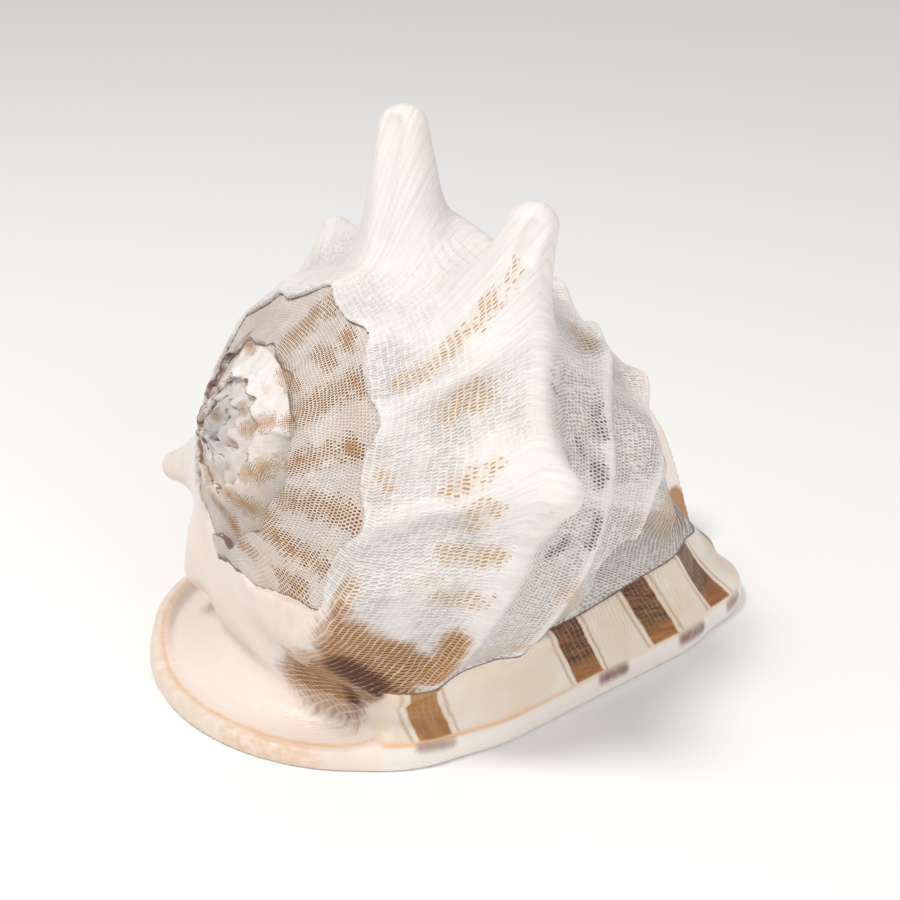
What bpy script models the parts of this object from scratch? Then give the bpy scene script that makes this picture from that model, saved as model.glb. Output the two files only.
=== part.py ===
"""Horned helmet shell at rest on its aperture, rebuilt as one closed solid.

The shell is described by rules of position, written as geometry nodes: each rule gives how far
a place lies outside a form, in millimetres. The forms are blended, filled as a volume, and the
volume's surface becomes the shell. The coil runs along +X with the apex at -X, the outer lip is
at -Y and the shield at +Y. The floor is Z = 0.
"""
import math

import bmesh
import bpy
from mathutils import Vector

MM = 0.001
TURN = 360.0

# Middle of the finished shell's box, which becomes the origin.
MIDDLE = Vector((-6.34, -13.45, 0.0))

# Where the coil sits, in millimetres and degrees.
APEX = Vector((-98.0, -8.0, 94.0))
AXIS_DIP = 19.7
LIP_ANGLE = 150.0
FADE_START = 125.0
FADE_END = 180.0

# Size of the last whorl at the outer lip, and growth in one turn.
WHORL_GROWTH = 1.83
SHOULDER_GROWTH = 1.33
SUTURE_RADIUS = 58.8
SUTURE_DEPTH = 26.0
SHOULDER_RADIUS = 84.0
SHOULDER_DEPTH = 60.0
BASE_DEPTH = 170.0
BASE_ROUND = 6.0

# Ramp between suture and shoulder, with a hollow across its middle, and the waist before the lip.
RAMP_HOLLOW = 3.5
HOLLOW_PLACE = 0.45
HOLLOW_WIDTH = 0.3
EARLY_LIFT = 0.02
WAIST = 0.11
WAIST_START = 40.0
WAIST_PEAK = 140.0
WAIST_END = 180.0

# Shoulder and side of the last whorl.
SHOULDER_ROUND = 24.0
EARLY_ROUND = 9.0
KEEL_HEIGHT = 2.5
KEEL_DROP = 5.0
KEEL_WIDTH = 7.0
SIDE_SLOPE = 0.85
SIDE_END = 1.3
SIDE_TAPER = 0.45
BASE_TAPER = 0.38
BASE_TAPER_POWER = 2.4

# Suture of the last whorl, whose edge laps over the spire in a wave under a low rim.
SUTURE_WAVE = 3.0
SUTURE_STEP = 3.8
SUTURE_RIM = 1.9
SUTURE_RIM_PLACE = -0.1
SUTURE_RIM_WIDTH = 0.25

# Spire: whorls, nodules at their shoulders, and the low step of each whorl. Sizes below one
# are shares of the step's outer radius.
SPIRE_WHORLS = 4
NODULES_PER_TURN = 11
NODULE_SHIFT = 14.0
NODULE_HEIGHT = 0.3
NODULE_PLACE = 0.93
NODULE_WIDTH = 0.07
NODULE_LEAST_WIDTH = 0.5
STEP_RISE = 0.045
STEP_RISE_LOSS = 1.4
STEP_SIDE = 1.01
STEP_ROUND = 0.08
STEP_LIP = 0.8
SPIRE_THICKNESS = 14.0
TIP_DEPTH = 2.5
TIP_RADIUS = 4.0
TIP_BLEND = 2.5

# Main horns: angle of the root and of the tip, depth and radius of the tip, radius of the horn
# at its root and at its tip, and how far the root is shifted along the axis.
HORNS = (
    (-152.0, -152.0, 31.0, 67.0, 8.0, 4.5, -17.0),
    (-116.0, -116.0, 34.0, 71.0, 8.5, 5.0, -13.0),
    (-80.0, -80.0, 42.0, 73.0, 9.5, 5.0, -7.0),
    (-45.0, -45.0, 47.0, 77.0, 11.0, 5.0, -3.0),
    (-4.0, -4.0, 32.0, 95.0, 15.0, 7.5, -8.0),
    (36.0, 26.0, 52.0, 93.0, 14.0, 8.0, 0.0),
    (74.0, 74.0, 64.0, 83.0, 16.0, 8.5, 4.0),
)
HORN_ROOT_SINK = 12.0
HORN_BLEND = 15.0

# Lower rows: place between shoulder and base, width, ridge height, first knob, knobs, knob height.
KNOB_ROWS = (
    (0.36, 6.0, 1.8, 16.0, 13, 4.0),
    (0.60, 6.0, 2.4, 35.0, 11, 5.0),
)
KNOB_FADE_START = 45.0
KNOB_FADE_END = 75.0
LATE_KNOB = 0.4

# Siphonal canal.
CANAL_START = Vector((24.0, -8.0, 50.0))
CANAL_END = Vector((88.0, 0.0, 10.0))
CANAL_RADII = (16.0, 8.0)
CANAL_BLEND = 18.0

# Base: outline, lip, shield and margin. The outline is seen from above
# as round lobes drawn out from one place to another: x, y and radius of each end. A pair named
# X or Y is where a form starts and where it is full.
OUTLINE_LOBES = (
    (-51.0, -4.0, 60.2, 71.0, -3.0, 27.0),
    (-49.0, 8.0, 51.0, 31.0, 17.0, 43.0),
    (-32.0, -18.0, 44.6, 41.0, -3.0, 39.6),
)
OUTLINE_BLEND = 14.0
PLATE_TOP = 8.0
PLATE_ROUND = 4.0
RIM_ROUND = 7.0
BEAD_HEIGHT = 9.2
BEAD_INSET = 4.0
BEAD_BLEND = 3.0
SHIELD_RISE = 6.0
SHIELD_SLOPE = 24.0
SHIELD_POWER = 1.6
LIP_X = (-68.0, -28.0)
LIP_Y = (14.0, -24.0)
LIP_STEEPNESS = 1.7
NOSE_STEEPNESS = 0.5
NOSE_X = (52.0, 90.0)
LIP_FLARE = 0.024
LIP_HEIGHT = 54.0
LIP_ROUND = 12.0
LIP_SLOPE = 0.55
BAND_X = (-76.0, -58.0)
BAND_Y = (7.0, -18.0)
LIP_STEP = 1.3
LIP_BAND = 27.0
LIP_BAND_EDGE = 0.5
MARGIN_Y = (-18.0, 32.0)
MARGIN_RISE = 5.0
MARGIN_THICKNESS = 5.2
MARGIN_INSET = 3.0
MARGIN_LEAN = 0.15
MARGIN_ROUND = 4.0
MARGIN_BLEND = 12.0
COLLAR_X = (-3.0, 52.0)
COLLAR_Y = (2.0, 34.0)
COLLAR_HEIGHT = 48.0

# Rounding between the whorls and the base: at the spire's end, at the canal's end and at the rim.
BLEND_X = (-58.0, -8.0)
SPIRE_END_BLEND = 46.0
CANAL_END_BLEND = 20.0
BLEND_REACH = 28.0
RIM_BLEND_SHARE = 0.15

# Aperture and living chamber.
WALL = 5.0
COLUMELLA_RADIUS = 13.0
CHAMBER_ROUND = 9.0
CHAMBER_TOP = 7.0
CHAMBER_DEPTH = 130.0
SEPTUM_SIDE = 0.64
SEPTUM_UP = 0.77
SEPTUM_EDGE = 5.0
FLOOR_THICKNESS = 9.0
FLOOR_ROUND = 6.0
SLIT_INSET = 34.0
SLIT_HALF_WIDTH = 8.0
SLIT_MIDDLE = 8.0
SLIT_HALF_LENGTH = 76.0
SLIT_END_ROUND = 12.0
SLIT_SETBACK = 4.0
SLIT_TOP_X = (5.0, 45.0)
SLIT_BACK_HEIGHT = 40.0
SLIT_FRONT_HEIGHT = 7.0
SLIT_BLEND = 6.0
TOOTH_PITCH = 11.0
TOOTH_HEIGHT = 1.4
TOOTH_Z = (12.0, 16.0)
DISH_DEPTH = 5.0
DISH_WIDTH = 16.0
DISH_Y = (10.0, -10.0)

# Surface building.
GRID_LOW = Vector((-120.0, -102.0, -3.0))
GRID_HIGH = Vector((105.0, 76.0, 186.0))
GRID_STEP = 1.5
TRIANGLES = 9600
FAR_OUTSIDE = 50.0

SHELL_COLOUR = (0.86, 0.78, 0.70, 1.0)
SHELL_ROUGHNESS = 0.45


class Rule:
    """A number at every place, held by a node socket, so rules can be written as sums."""

    tree = None

    def __init__(self, socket):
        self.socket = socket

    @classmethod
    def node(cls, kind, settings, inputs):
        made = cls.tree.nodes.new(kind)
        for name, value in settings.items():
            setattr(made, name, value)
        for slot, value in inputs.items():
            if isinstance(value, Rule):
                cls.tree.links.new(value.socket, made.inputs[slot])
            else:
                made.inputs[slot].default_value = value
        return made

    @classmethod
    def math(cls, operation, *terms):
        made = cls.node("ShaderNodeMath", {"operation": operation}, dict(enumerate(terms)))
        return cls(made.outputs[0])

    @classmethod
    def vector(cls, operation, output, *terms):
        made = cls.node("ShaderNodeVectorMath", {"operation": operation}, dict(enumerate(terms)))
        return cls(made.outputs[output])

    @classmethod
    def span(cls, low_place, high_place, share):
        """The place a share of the way from one fixed place to another."""
        made = cls.node(
            "ShaderNodeMix",
            {"data_type": "VECTOR"},
            {0: share, 4: low_place, 5: high_place},
        )
        return cls(made.outputs[1])

    def ramp(self, start, end, before=0.0, after=1.0, kind="SMOOTHSTEP"):
        """Goes from one value to another while this one goes from start to end."""
        made = self.node(
            "ShaderNodeMapRange",
            {"interpolation_type": kind},
            {0: self, 1: start, 2: end, 3: before, 4: after},
        )
        return Rule(made.outputs[0])

    def __add__(self, other):
        return self.math("ADD", self, other)

    def __radd__(self, other):
        return self.math("ADD", other, self)

    def __sub__(self, other):
        return self.math("SUBTRACT", self, other)

    def __rsub__(self, other):
        return self.math("SUBTRACT", other, self)

    def __mul__(self, other):
        return self.math("MULTIPLY", self, other)

    def __rmul__(self, other):
        return self.math("MULTIPLY", other, self)

    def __truediv__(self, other):
        return self.math("DIVIDE", self, other)

    def __rtruediv__(self, other):
        return self.math("DIVIDE", other, self)

    def __neg__(self):
        return self.math("MULTIPLY", self, -1.0)

    def __pow__(self, other):
        return self.math("POWER", self, other)

    def __abs__(self):
        return self.math("ABSOLUTE", self)


def low(first, second, blend=0.0):
    """Union of two forms, rounded where they meet."""
    return Rule.math("SMOOTH_MIN", first, second, blend)


def high(first, second, blend=0.0):
    """What two forms share, rounded where they meet."""
    return Rule.math("SMOOTH_MAX", first, second, blend)


def between(first, second, share):
    return first + (second - first) * share


def wave(angle, count, shift=0.0):
    """A cosine with a number of crests in one turn, the angle in degrees."""
    return Rule.math("COSINE", (angle - shift) * math.radians(count))


def length(first, second):
    return Rule.math("SQRT", first * first + second * second)


def swell(value, centre, width):
    """A round hump of height one."""
    gap = (value - centre) / width
    return Rule.math("EXPONENT", -(gap * gap))


def rod(place, start, end, start_radius, end_radius):
    """A round bar with its own radius at each end."""
    way = end - start
    share = Rule.vector("DOT_PRODUCT", 1, place, way).ramp(
        start.dot(way), end.dot(way), kind="LINEAR"
    )
    gap = Rule.vector("DISTANCE", 1, place, Rule.span(start, end, share))
    return gap - share.ramp(0.0, 1.0, start_radius, end_radius, "LINEAR")


TILT = math.radians(AXIS_DIP)
ALONG = Vector((math.cos(TILT), 0.0, -math.sin(TILT)))
ABOVE = Vector((math.sin(TILT), 0.0, math.cos(TILT)))
NEAR = Vector((0.0, -1.0, 0.0))


def coil_place(angle, depth, radius):
    """The place at an angle round the axis, a depth from the apex and a radius."""
    turn = math.radians(angle)
    return APEX + ALONG * depth + ABOVE * (radius * math.cos(turn)) + NEAR * (radius * math.sin(turn))


def grown(size, growth, turns):
    return size * Rule.math("EXPONENT", turns * math.log(growth))


def ramp_gap(depth, radius, inner_depth, inner_radius, outer_depth, outer_radius):
    """Distance above the line from the suture out to the shoulder."""
    run = outer_radius - inner_radius
    drop = outer_depth - inner_depth
    return ((inner_depth - depth) * run + (radius - inner_radius) * drop) / length(run, drop)


def nodule(angle, whorl):
    """One at the middle of each nodule of a whorl, zero half-way to the next."""
    share = wave(angle, NODULES_PER_TURN, whorl * NODULE_SHIFT) * 0.5 + 0.5
    return share * share


def spire_rule(depth, radius, angle, turns):
    """Earlier whorls, each a low step with nodules at its shoulder."""
    spire = None
    suture_depth = grown(SUTURE_DEPTH, WHORL_GROWTH, turns)
    for whorl in range(1, SPIRE_WHORLS + 1):
        outer = WHORL_GROWTH ** (1 - whorl)
        inner = WHORL_GROWTH ** -whorl
        edge_depth = suture_depth * outer
        edge_radius = suture_depth * (outer * SUTURE_RADIUS / SUTURE_DEPTH)
        start_depth = suture_depth * inner
        start_radius = suture_depth * (inner * SUTURE_RADIUS / SUTURE_DEPTH)
        top = ramp_gap(depth, radius, start_depth, start_radius, edge_depth, edge_radius)
        raised = edge_radius * STEP_RISE - STEP_RISE_LOSS
        crest = nodule(angle, whorl) * edge_radius ** 0.5 * NODULE_HEIGHT
        width = edge_radius * NODULE_WIDTH + NODULE_LEAST_WIDTH
        crest = crest * swell(radius, edge_radius * NODULE_PLACE, width)
        side = radius - edge_radius * STEP_SIDE - crest
        step = high(top - raised - crest, side, edge_radius * STEP_ROUND)
        step = high(step, start_depth - depth - raised - STEP_LIP)
        step = high(step, depth - suture_depth - SPIRE_THICKNESS)
        spire = step if spire is None else low(spire, step)
    tip = length(depth - TIP_DEPTH, radius) - TIP_RADIUS
    return low(spire, tip, TIP_BLEND)


def last_whorl_rule(place, depth, radius, angle, turns):
    """The body whorl: ramp, shoulder, two knob rows, base, canal and horns."""
    fade = angle.ramp(FADE_START, FADE_END)
    early = high(angle.ramp(0.0, -180.0), fade)
    turns = turns - fade
    suture_depth = grown(SUTURE_DEPTH, WHORL_GROWTH, turns)
    suture_radius = suture_depth * (SUTURE_RADIUS / SUTURE_DEPTH)
    girth = grown(SHOULDER_RADIUS, SHOULDER_GROWTH, turns)
    shoulder_depth = between(
        girth * (SHOULDER_DEPTH / SHOULDER_RADIUS), suture_depth * WHORL_GROWTH, early
    )
    shoulder_radius = between(girth, suture_radius * (WHORL_GROWTH * STEP_SIDE), early)
    waist = angle.ramp(WAIST_START, WAIST_PEAK) * angle.ramp(WAIST_PEAK, WAIST_END, 1.0, 0.0)
    shoulder_radius = shoulder_radius * (1.0 - waist * WAIST)

    top = ramp_gap(depth, radius, suture_depth, suture_radius, shoulder_depth, shoulder_radius)
    share = (radius - suture_radius) / (shoulder_radius - suture_radius)
    top = top + (1.0 - early) * swell(share, HOLLOW_PLACE, HOLLOW_WIDTH) * RAMP_HOLLOW
    top = top - early * shoulder_radius * EARLY_LIFT
    top = top - swell(share, SUTURE_RIM_PLACE, SUTURE_RIM_WIDTH) * SUTURE_RIM

    reach = high(low((depth - shoulder_depth) / (BASE_DEPTH - shoulder_depth), SIDE_END), 0.0)
    side_radius = shoulder_radius * (1.0 - reach * SIDE_TAPER - reach ** BASE_TAPER_POWER * BASE_TAPER)
    for row, width, ridge, shift, count, knob in KNOB_ROWS:
        crest = wave(angle, count, shift) * 0.5 + 0.5
        crest = crest * angle.ramp(KNOB_FADE_START, KNOB_FADE_END, 1.0, LATE_KNOB)
        centre = between(shoulder_depth, BASE_DEPTH, row)
        side_radius = side_radius + swell(depth, centre, width) * (crest * crest * knob + ridge)
    side = (radius - side_radius) * SIDE_SLOPE

    keel = swell(depth, shoulder_depth + KEEL_DROP, KEEL_WIDTH) * (1.0 - early) * KEEL_HEIGHT
    whorl = high(top, side, between(SHOULDER_ROUND, EARLY_ROUND, early)) - keel
    edge = suture_depth - SUTURE_STEP + nodule(angle, 1) * SUTURE_WAVE
    whorl = high(whorl, edge - depth)
    whorl = high(whorl, depth - BASE_DEPTH - BASE_ROUND)
    whorl = low(whorl, rod(place, CANAL_START, CANAL_END, *CANAL_RADII), CANAL_BLEND)
    for root_angle, tip_angle, tip_depth, tip_radius, root_size, tip_size, shift in HORNS:
        grown_by = SHOULDER_GROWTH ** ((root_angle - LIP_ANGLE) / TURN)
        root = coil_place(
            root_angle,
            SHOULDER_DEPTH * grown_by + shift,
            SHOULDER_RADIUS * grown_by - HORN_ROOT_SINK,
        )
        tip = coil_place(tip_angle, tip_depth, tip_radius)
        whorl = low(whorl, rod(place, root, tip, root_size, tip_size), HORN_BLEND)
    return whorl, edge


def outline_rule(x, y):
    """Distance outside the base's outline, seen from above."""
    outline = None
    for start_x, start_y, start_size, end_x, end_y, end_size in OUTLINE_LOBES:
        way_x = end_x - start_x
        way_y = end_y - start_y
        reach = way_x * way_x + way_y * way_y
        share = ((x - start_x) * way_x + (y - start_y) * way_y).ramp(0.0, reach, kind="LINEAR")
        gap = length(x - start_x - share * way_x, y - start_y - share * way_y)
        lobe = gap - share.ramp(0.0, 1.0, start_size, end_size, "LINEAR")
        outline = lobe if outline is None else low(outline, lobe, OUTLINE_BLEND)
    return outline


def base_rule(x, y, z, rim):
    """Lip band on the near side, shield on the far side, bead and raised margin."""
    inset = high(-rim, 0.0)
    lip_side = y.ramp(*LIP_Y) * x.ramp(*LIP_X)
    levelling = 1.0 - Rule.math("EXPONENT", -((inset / SHIELD_SLOPE) ** SHIELD_POWER))
    shield = levelling * SHIELD_RISE
    steepness = x.ramp(*NOSE_X, LIP_STEEPNESS, NOSE_STEEPNESS)
    lip = low(inset * (steepness + inset * LIP_FLARE), LIP_HEIGHT, LIP_ROUND)
    rise = between(shield, lip, lip_side)
    plate = high((z - PLATE_TOP - rise) * between(1.0, LIP_SLOPE, lip_side), -z, PLATE_ROUND)
    plate = high(plate, rim, RIM_ROUND)
    bead = length(rim + BEAD_INSET, z - BEAD_HEIGHT * 0.5) - BEAD_HEIGHT * 0.5
    plate = low(plate, bead, BEAD_BLEND)
    collar = y.ramp(*COLLAR_Y) * x.ramp(*COLLAR_X) * COLLAR_HEIGHT
    top = y.ramp(*MARGIN_Y) * MARGIN_RISE + collar
    sheet = abs(rim - (z - PLATE_TOP) * MARGIN_LEAN + MARGIN_INSET) - MARGIN_THICKNESS * 0.5
    margin = high(sheet, z - PLATE_TOP - top, MARGIN_ROUND)
    return low(plate, margin, MARGIN_BLEND)


def shell_rule(place, x, y, z):
    """How far a place lies outside the whole shell."""
    from_apex = Rule.vector("SUBTRACT", 0, place, APEX)
    depth = Rule.vector("DOT_PRODUCT", 1, from_apex, ALONG)
    upward = Rule.vector("DOT_PRODUCT", 1, from_apex, ABOVE)
    sideways = Rule.vector("DOT_PRODUCT", 1, from_apex, NEAR)
    radius = length(upward, sideways)
    angle = Rule.math("ARCTAN2", sideways, upward) * math.degrees(1.0)
    turns = (angle - LIP_ANGLE) / TURN

    spire = spire_rule(depth, radius, angle, turns)
    whorl, edge = last_whorl_rule(place, depth, radius, angle, turns)
    rim = outline_rule(x, y)
    base = base_rule(x, y, z, rim)
    inset = high(-rim, 0.0)

    blend = x.ramp(*BLEND_X, SPIRE_END_BLEND, CANAL_END_BLEND)
    blend = blend * inset.ramp(0.0, BLEND_REACH, RIM_BLEND_SHARE, 1.0)
    shell = low(low(whorl, spire), base, blend)
    band_side = y.ramp(*BAND_Y) * x.ramp(*BAND_X)
    band = length(inset, z).ramp(LIP_BAND + LIP_BAND_EDGE, LIP_BAND - LIP_BAND_EDGE)
    shell = shell - band * band_side * LIP_STEP

    hollow = high(whorl + WALL, COLUMELLA_RADIUS - radius, CHAMBER_ROUND)
    hollow = high(hollow, edge + CHAMBER_TOP - depth)
    hollow = high(hollow, depth - CHAMBER_DEPTH)
    septum = low(-sideways - SEPTUM_EDGE, sideways * SEPTUM_SIDE - upward * SEPTUM_UP)
    hollow = high(hollow, septum)
    hollow = high(hollow, FLOOR_THICKNESS - z, FLOOR_ROUND)
    tooth = wave(x, TURN / TOOTH_PITCH) * 0.5 + 0.5
    tooth = tooth * z.ramp(*TOOTH_Z, TOOTH_HEIGHT, 0.0)
    slit = abs(inset - SLIT_INSET) - SLIT_HALF_WIDTH + tooth
    slit = high(slit, abs(x - SLIT_MIDDLE) - SLIT_HALF_LENGTH, SLIT_END_ROUND)
    slit = high(slit, y + SLIT_SETBACK)
    slit = high(slit, z - x.ramp(*SLIT_TOP_X, SLIT_BACK_HEIGHT, SLIT_FRONT_HEIGHT))
    shell = high(shell, -low(hollow, slit, SLIT_BLEND))
    dish = swell(inset, SLIT_INSET, DISH_WIDTH) * y.ramp(*DISH_Y) * DISH_DEPTH
    return high(shell, dish - z)


def make_surface(name):
    """Fills the rule as a volume and keeps the volume's surface."""
    tree = bpy.data.node_groups.new(name, "GeometryNodeTree")
    tree.interface.new_socket("Geometry", in_out="OUTPUT", socket_type="NodeSocketGeometry")
    Rule.tree = tree
    metres = Rule(Rule.node("GeometryNodeInputPosition", {}, {}).outputs[0])
    place = Rule.vector("MULTIPLY_ADD", 0, metres, (1.0 / MM,) * 3, MIDDLE)
    parts = Rule.node("ShaderNodeSeparateXYZ", {}, {0: place})
    x, y, z = (Rule(socket) for socket in parts.outputs)
    inside = shell_rule(place, x, y, z) * -1.0

    size = GRID_HIGH - GRID_LOW
    counts = [round(side / GRID_STEP) + 1 for side in size]
    volume = Rule.node(
        "GeometryNodeVolumeCube",
        {},
        {
            "Density": inside,
            "Background": -FAR_OUTSIDE,
            "Min": (GRID_LOW - MIDDLE) * MM,
            "Max": (GRID_HIGH - MIDDLE) * MM,
            "Resolution X": counts[0],
            "Resolution Y": counts[1],
            "Resolution Z": counts[2],
        },
    )
    surface = Rule.node("GeometryNodeVolumeToMesh", {}, {"Threshold": 0.0})
    out = Rule.node("NodeGroupOutput", {}, {})
    tree.links.new(volume.outputs[0], surface.inputs[0])
    tree.links.new(surface.outputs[0], out.inputs[0])

    thing = bpy.data.objects.new(name, bpy.data.meshes.new(name))
    bpy.context.scene.collection.objects.link(thing)
    thing.modifiers.new("Surface", "NODES").node_group = tree
    return thing


def settle(thing):
    """Turns the modifiers into a plain mesh of triangles with every face looking out."""
    graph = bpy.context.evaluated_depsgraph_get()
    mesh = bpy.data.meshes.new_from_object(thing.evaluated_get(graph))
    thing.modifiers.clear()
    thing.data = mesh


def thin_out(thing):
    """Keeps the triangles where the form bends most."""
    count = sum(len(face.vertices) - 2 for face in thing.data.polygons)
    fewer = thing.modifiers.new("Fewer triangles", "DECIMATE")
    fewer.ratio = TRIANGLES / count
    fewer.use_collapse_triangulate = True
    settle(thing)
    form = bmesh.new()
    form.from_mesh(thing.data)
    bmesh.ops.triangulate(form, faces=form.faces[:])
    bmesh.ops.recalc_face_normals(form, faces=form.faces[:])
    form.to_mesh(thing.data)
    form.free()


def nacre():
    material = bpy.data.materials.new("worn_shell")
    material.use_nodes = True
    surface = material.node_tree.nodes["Principled BSDF"]
    surface.inputs["Base Color"].default_value = SHELL_COLOUR
    surface.inputs["Roughness"].default_value = SHELL_ROUGHNESS
    return material


for old in list(bpy.data.objects):
    bpy.data.objects.remove(old)

shell = make_surface("shell")
settle(shell)
thin_out(shell)
shell.data.materials.append(nacre())
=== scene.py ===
import math

import bpy
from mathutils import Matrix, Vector


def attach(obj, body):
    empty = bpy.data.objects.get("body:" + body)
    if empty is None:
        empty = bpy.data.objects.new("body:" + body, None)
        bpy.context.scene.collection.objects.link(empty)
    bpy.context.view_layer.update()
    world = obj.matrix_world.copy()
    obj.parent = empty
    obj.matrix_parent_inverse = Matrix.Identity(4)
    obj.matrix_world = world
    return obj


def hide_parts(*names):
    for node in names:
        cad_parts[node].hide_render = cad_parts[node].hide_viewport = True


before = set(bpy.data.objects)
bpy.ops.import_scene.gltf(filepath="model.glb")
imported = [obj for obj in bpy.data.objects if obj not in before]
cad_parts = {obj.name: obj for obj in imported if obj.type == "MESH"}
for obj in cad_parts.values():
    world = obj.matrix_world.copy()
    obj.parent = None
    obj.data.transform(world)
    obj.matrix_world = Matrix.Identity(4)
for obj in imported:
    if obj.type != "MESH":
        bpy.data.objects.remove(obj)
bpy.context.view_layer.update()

# Coil
# The whole object is one natural seashell, a tube of lime that the animal laid down as it grew.
# The tube winds to the right round an axis that dips to the front, and each turn is larger than
# the one before by the same factor. The shell stands on its flat aperture side.

# First place of the coil and dip of its axis. Rules are written in millimetres.
APEX = Vector((-98, -8, 94))
AXIS_DIP = 19.7


def sum_of(operation, turned=False):
    """A sum of two terms, which changes their places when it is turned."""
    if turned:
        return lambda self, other: self.math(operation, other, self)
    return lambda self, other: self.math(operation, self, other)


class Rule:
    """A number or vector held by a node socket, so rules and finishes can be written as sums."""

    tree = None
    __add__ = sum_of("ADD")
    __radd__ = sum_of("ADD", True)
    __sub__ = sum_of("SUBTRACT")
    __rsub__ = sum_of("SUBTRACT", True)
    __mul__ = sum_of("MULTIPLY")
    __rmul__ = sum_of("MULTIPLY", True)
    __truediv__ = sum_of("DIVIDE")
    __rtruediv__ = sum_of("DIVIDE", True)
    __pow__ = sum_of("POWER")

    def __init__(self, socket):
        self.socket = socket

    @classmethod
    def node(cls, kind, settings, inputs):
        made = cls.tree.nodes.new(kind)
        for name, value in settings.items():
            setattr(made, name, value)
        for slot, value in inputs.items():
            if isinstance(value, Rule):
                cls.tree.links.new(value.socket, made.inputs[slot])
            else:
                made.inputs[slot].default_value = value
        return made

    @classmethod
    def math(cls, operation, *terms):
        made = cls.node("ShaderNodeMath", {"operation": operation}, dict(enumerate(terms)))
        return cls(made.outputs[0])

    @classmethod
    def vector(cls, operation, output, *terms):
        made = cls.node("ShaderNodeVectorMath", {"operation": operation}, dict(enumerate(terms)))
        return cls(made.outputs[output])

    @classmethod
    def span(cls, low_place, high_place, share):
        """The place a share of the way from one fixed place to another."""
        made = cls.node(
            "ShaderNodeMix",
            {"data_type": "VECTOR"},
            {0: share, 4: low_place, 5: high_place},
        )
        return cls(made.outputs[1])

    def ramp(self, start, end, before=0.0, after=1.0, kind="SMOOTHSTEP"):
        """Goes from one value to another while this one goes from start to end."""
        made = self.node(
            "ShaderNodeMapRange",
            {"interpolation_type": kind},
            {0: self, 1: start, 2: end, 3: before, 4: after},
        )
        return Rule(made.outputs[0])

    def __neg__(self):
        return self.math("MULTIPLY", self, -1.0)

    def __abs__(self):
        return self.math("ABSOLUTE", self)


def length(first, second):
    return Rule.math("SQRT", first * first + second * second)


TILT = math.radians(AXIS_DIP)
ALONG = Vector((math.cos(TILT), 0.0, -math.sin(TILT)))
ABOVE = Vector((math.sin(TILT), 0.0, math.cos(TILT)))
NEAR = Vector((0, -1, 0))


def coil(place):
    """Depth from the apex, distance to the near side and above the axis, radius and angle."""
    from_apex = Rule.vector("SUBTRACT", 0, place, APEX)
    depth = Rule.vector("DOT_PRODUCT", 1, from_apex, ALONG)
    upward = Rule.vector("DOT_PRODUCT", 1, from_apex, ABOVE)
    sideways = Rule.vector("DOT_PRODUCT", 1, from_apex, NEAR)
    radius = length(upward, sideways)
    angle = Rule.math("ARCTAN2", sideways, upward) * math.degrees(1.0)
    return depth, sideways, upward, radius, angle


# Spire
# The spire is what stays in view of the earlier whorls. Each whorl laps over the one before it
# with a thin wavy edge, which rises over a row of nodules. The oldest whorls are worn, and a
# broken flap of white lime lies over part of the third.

# Growth in one turn, and where the last suture lies at the outer lip.
WHORL_GROWTH = 1.83
SUTURE_RADIUS = 58.8
SUTURE_DEPTH = 26.0

# Sutures of the spire, from the newest inwards: height and wave of the lapping edge, sink of the
# ramp behind it and height of the broken flap at its outer side.
SPIRE_SUTURES = (
    (2.6, 0.09, 0.030, 0.0),
    (2.2, 0.12, 0.040, 2.2),
    (1.6, 0.16, 0.050, 0.0),
    (1.2, 0.16, 0.050, 0.0),
)
NODULES_PER_TURN = 12
NODULE_SHIFT = 4.0
SPIRE_BULGE = 0.045
SPIRE_FOLD = 0.05
FOLD_END = 0.9
LAP_END = 0.55
SINK_PLACE = 0.62
SINK_WIDTH = 0.3
SPIRE_THICKNESS = 14.0
EDGE_ROUND = 1.2
WHORL_BLEND = 0.6

# The flap: angles at which it breaks off above and fades below, and where it starts on the whorl.
FLAP_TOP = (76.0, 71.0)
FLAP_FOOT = (-60.0, -20.0)
FLAP_SHARE = (0.15, 0.5)

# Worn end: size of the lumps, radii between which they grow, their heights and the round tip.
WEAR_SCALE = 0.17
WEAR_RADII = (30.0, 15.0)
WEAR_HEIGHTS = (0.5, 5.5)
TIP_DEPTH = 3.0
TIP_RADIUS = 4.0
TIP_BLEND = 2.5


def low(first, second, blend=0.0):
    """Union of two forms, rounded where they meet."""
    return Rule.math("SMOOTH_MIN", first, second, blend)


def high(first, second, blend=0.0):
    """What two forms share, rounded where they meet."""
    return Rule.math("SMOOTH_MAX", first, second, blend)


def wave(angle, count, shift=0.0):
    """A cosine with a number of crests in one turn, the angle in degrees."""
    return Rule.math("COSINE", (angle - shift) * math.radians(count))


def swell(value, centre, width):
    """A round hump of height one."""
    gap = (value - centre) / width
    return Rule.math("EXPONENT", -(gap * gap))


def noise(place, scale, detail=2.0, roughness=0.5):
    """Cloudy noise from 0 to 1 with its middle at a half."""
    made = Rule.node(
        "ShaderNodeTexNoise",
        {},
        {"Vector": place, "Scale": scale, "Detail": detail, "Roughness": roughness},
    )
    return Rule(made.outputs[0])


def grown(size, growth, turns):
    """A size that grows by the same factor in each turn."""
    return size * Rule.math("EXPONENT", turns * math.log(growth))


def nodule(angle, whorl):
    """One at the middle of each nodule of a whorl, zero half-way to the next."""
    share = wave(angle, NODULES_PER_TURN, whorl * NODULE_SHIFT) * 0.5 + 0.5
    return share * share


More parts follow.
